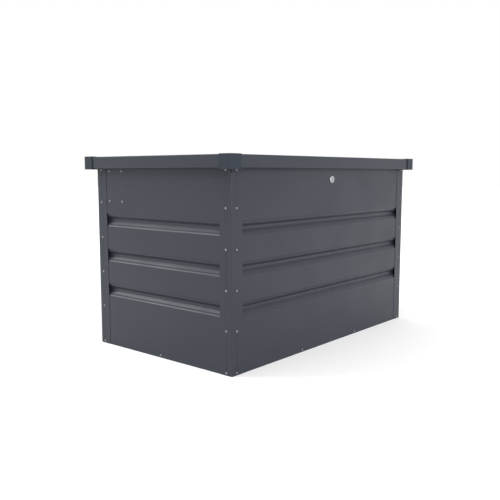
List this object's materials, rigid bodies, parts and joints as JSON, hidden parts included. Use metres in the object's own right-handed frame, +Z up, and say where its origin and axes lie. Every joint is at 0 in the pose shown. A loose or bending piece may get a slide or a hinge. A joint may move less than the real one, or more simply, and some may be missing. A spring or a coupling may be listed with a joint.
{
  "type": "deck storage box",
  "caption": "Lockable sheet-metal garden storage box with grooved walls, corner angles and an overhanging lid that opens on rear hinges with gas struts.",
  "frame": {"origin": "centre of the base, on the surface the box stands on", "axes": "+X along the front to the right seen from the front, +Y from the front to the hinge side, +Z up"},
  "size_m": [1.066, 0.652, 0.6289],
  "materials": {
    "painted_steel": "satin anthracite powder coat on sheet steel",
    "corner_plastic": "fine-textured moulded plastic",
    "galvanised_sheet": "galvanised sheet steel",
    "zinc_hardware": "bright zinc plate",
    "lock_metal": "satin chrome",
    "strut_tube": "gloss black paint",
    "strut_rod": "polished rod",
    "socket_nylon": "black nylon"
  },
  "bodies": {
    "box": {"corner_post_front_left": "painted_steel", "corner_post_front_right": "painted_steel", "corner_post_rear_left": "painted_steel", "corner_post_rear_right": "painted_steel", "fitting_nuts": "zinc_hardware", "fitting_screws": "zinc_hardware", "floor_bearer_left": "galvanised_sheet", "floor_bearer_right": "galvanised_sheet", "floor_panel": "galvanised_sheet", "frame_nuts": "zinc_hardware", "frame_screws": "zinc_hardware", "front_panel": "painted_steel", "hinge_body_leaf_left": "zinc_hardware", "hinge_body_leaf_right": "zinc_hardware", "hinge_pin_left": "zinc_hardware", "hinge_pin_right": "zinc_hardware", "left_panel": "painted_steel", "lock_housing": "lock_metal", "lock_nut": "lock_metal", "rear_panel": "painted_steel", "right_panel": "painted_steel", "strut_bracket_left": "zinc_hardware", "strut_bracket_right": "zinc_hardware", "strut_lower_stud_left": "zinc_hardware", "strut_lower_stud_right": "zinc_hardware"},
    "lid": {"hinge_lid_leaf_left": "zinc_hardware", "hinge_lid_leaf_right": "zinc_hardware", "lid_brace_left": "galvanised_sheet", "lid_brace_right": "galvanised_sheet", "lid_corner_cap_front_left": "corner_plastic", "lid_corner_cap_front_right": "corner_plastic", "lid_corner_cap_rear_left": "corner_plastic", "lid_corner_cap_rear_right": "corner_plastic", "lid_edge_front": "painted_steel", "lid_edge_left": "painted_steel", "lid_edge_rear": "painted_steel", "lid_edge_right": "painted_steel", "lid_hinge_nuts": "zinc_hardware", "lid_hinge_screws": "zinc_hardware", "lid_panel_nuts": "zinc_hardware", "lid_panel_screws": "zinc_hardware", "lid_plate_rivets": "zinc_hardware", "lid_strike": "zinc_hardware", "lid_strut_plate_left": "zinc_hardware", "lid_strut_plate_right": "zinc_hardware", "lid_top_panel": "painted_steel"},
    "lock_plug": {"lock_cam": "zinc_hardware", "lock_cam_screw": "zinc_hardware", "lock_plug": "lock_metal"},
    "left_strut_cylinder": {"strut_cylinder_left": "strut_tube", "strut_lower_socket_left": "socket_nylon"},
    "left_strut_rod": {"strut_rod_left": "strut_rod", "strut_upper_socket_left": "socket_nylon", "strut_upper_stud_left": "zinc_hardware"},
    "right_strut_cylinder": {"strut_cylinder_right": "strut_tube", "strut_lower_socket_right": "socket_nylon"},
    "right_strut_rod": {"strut_rod_right": "strut_rod", "strut_upper_socket_right": "socket_nylon", "strut_upper_stud_right": "zinc_hardware"}
  },
  "joints": [
    {"name": "lid_hinge", "type": "hinge", "parent": "box", "child": "lid", "pos_m": [0, 0.3175, 0.597], "axis": [-1, 0, 0], "range_deg": [0, 75]},
    {"name": "lock_turn", "type": "hinge", "parent": "box", "child": "lock_plug", "pos_m": [0, -0.29, 0.5545], "axis": [0, 1, 0], "range_deg": [0, 90]},
    {"name": "left_strut_swing", "type": "hinge", "parent": "box", "child": "left_strut_cylinder", "pos_m": [-0.477, 0.218, 0.505], "axis": [-1, 0, 0], "range_deg": [0, 68.33]},
    {"name": "left_strut_extend", "type": "slide", "parent": "left_strut_cylinder", "child": "left_strut_rod", "axis": [0, -0.9023, 0.4311], "range_m": [0, 0.16139]},
    {"name": "right_strut_swing", "type": "hinge", "parent": "box", "child": "right_strut_cylinder", "pos_m": [0.477, 0.218, 0.505], "axis": [-1, 0, 0], "range_deg": [0, 68.33]},
    {"name": "right_strut_extend", "type": "slide", "parent": "right_strut_cylinder", "child": "right_strut_rod", "axis": [0, -0.9023, 0.4311], "range_m": [0, 0.16139]}
  ],
  "couplings": [
    {"joint": "left_strut_swing", "follows": "lid_hinge", "ratio": 0.91099},
    {"joint": "left_strut_extend", "follows": "lid_hinge", "m_per_rad": 0.12329},
    {"joint": "right_strut_swing", "follows": "lid_hinge", "ratio": 0.91099},
    {"joint": "right_strut_extend", "follows": "lid_hinge", "m_per_rad": 0.12329}
  ]
}
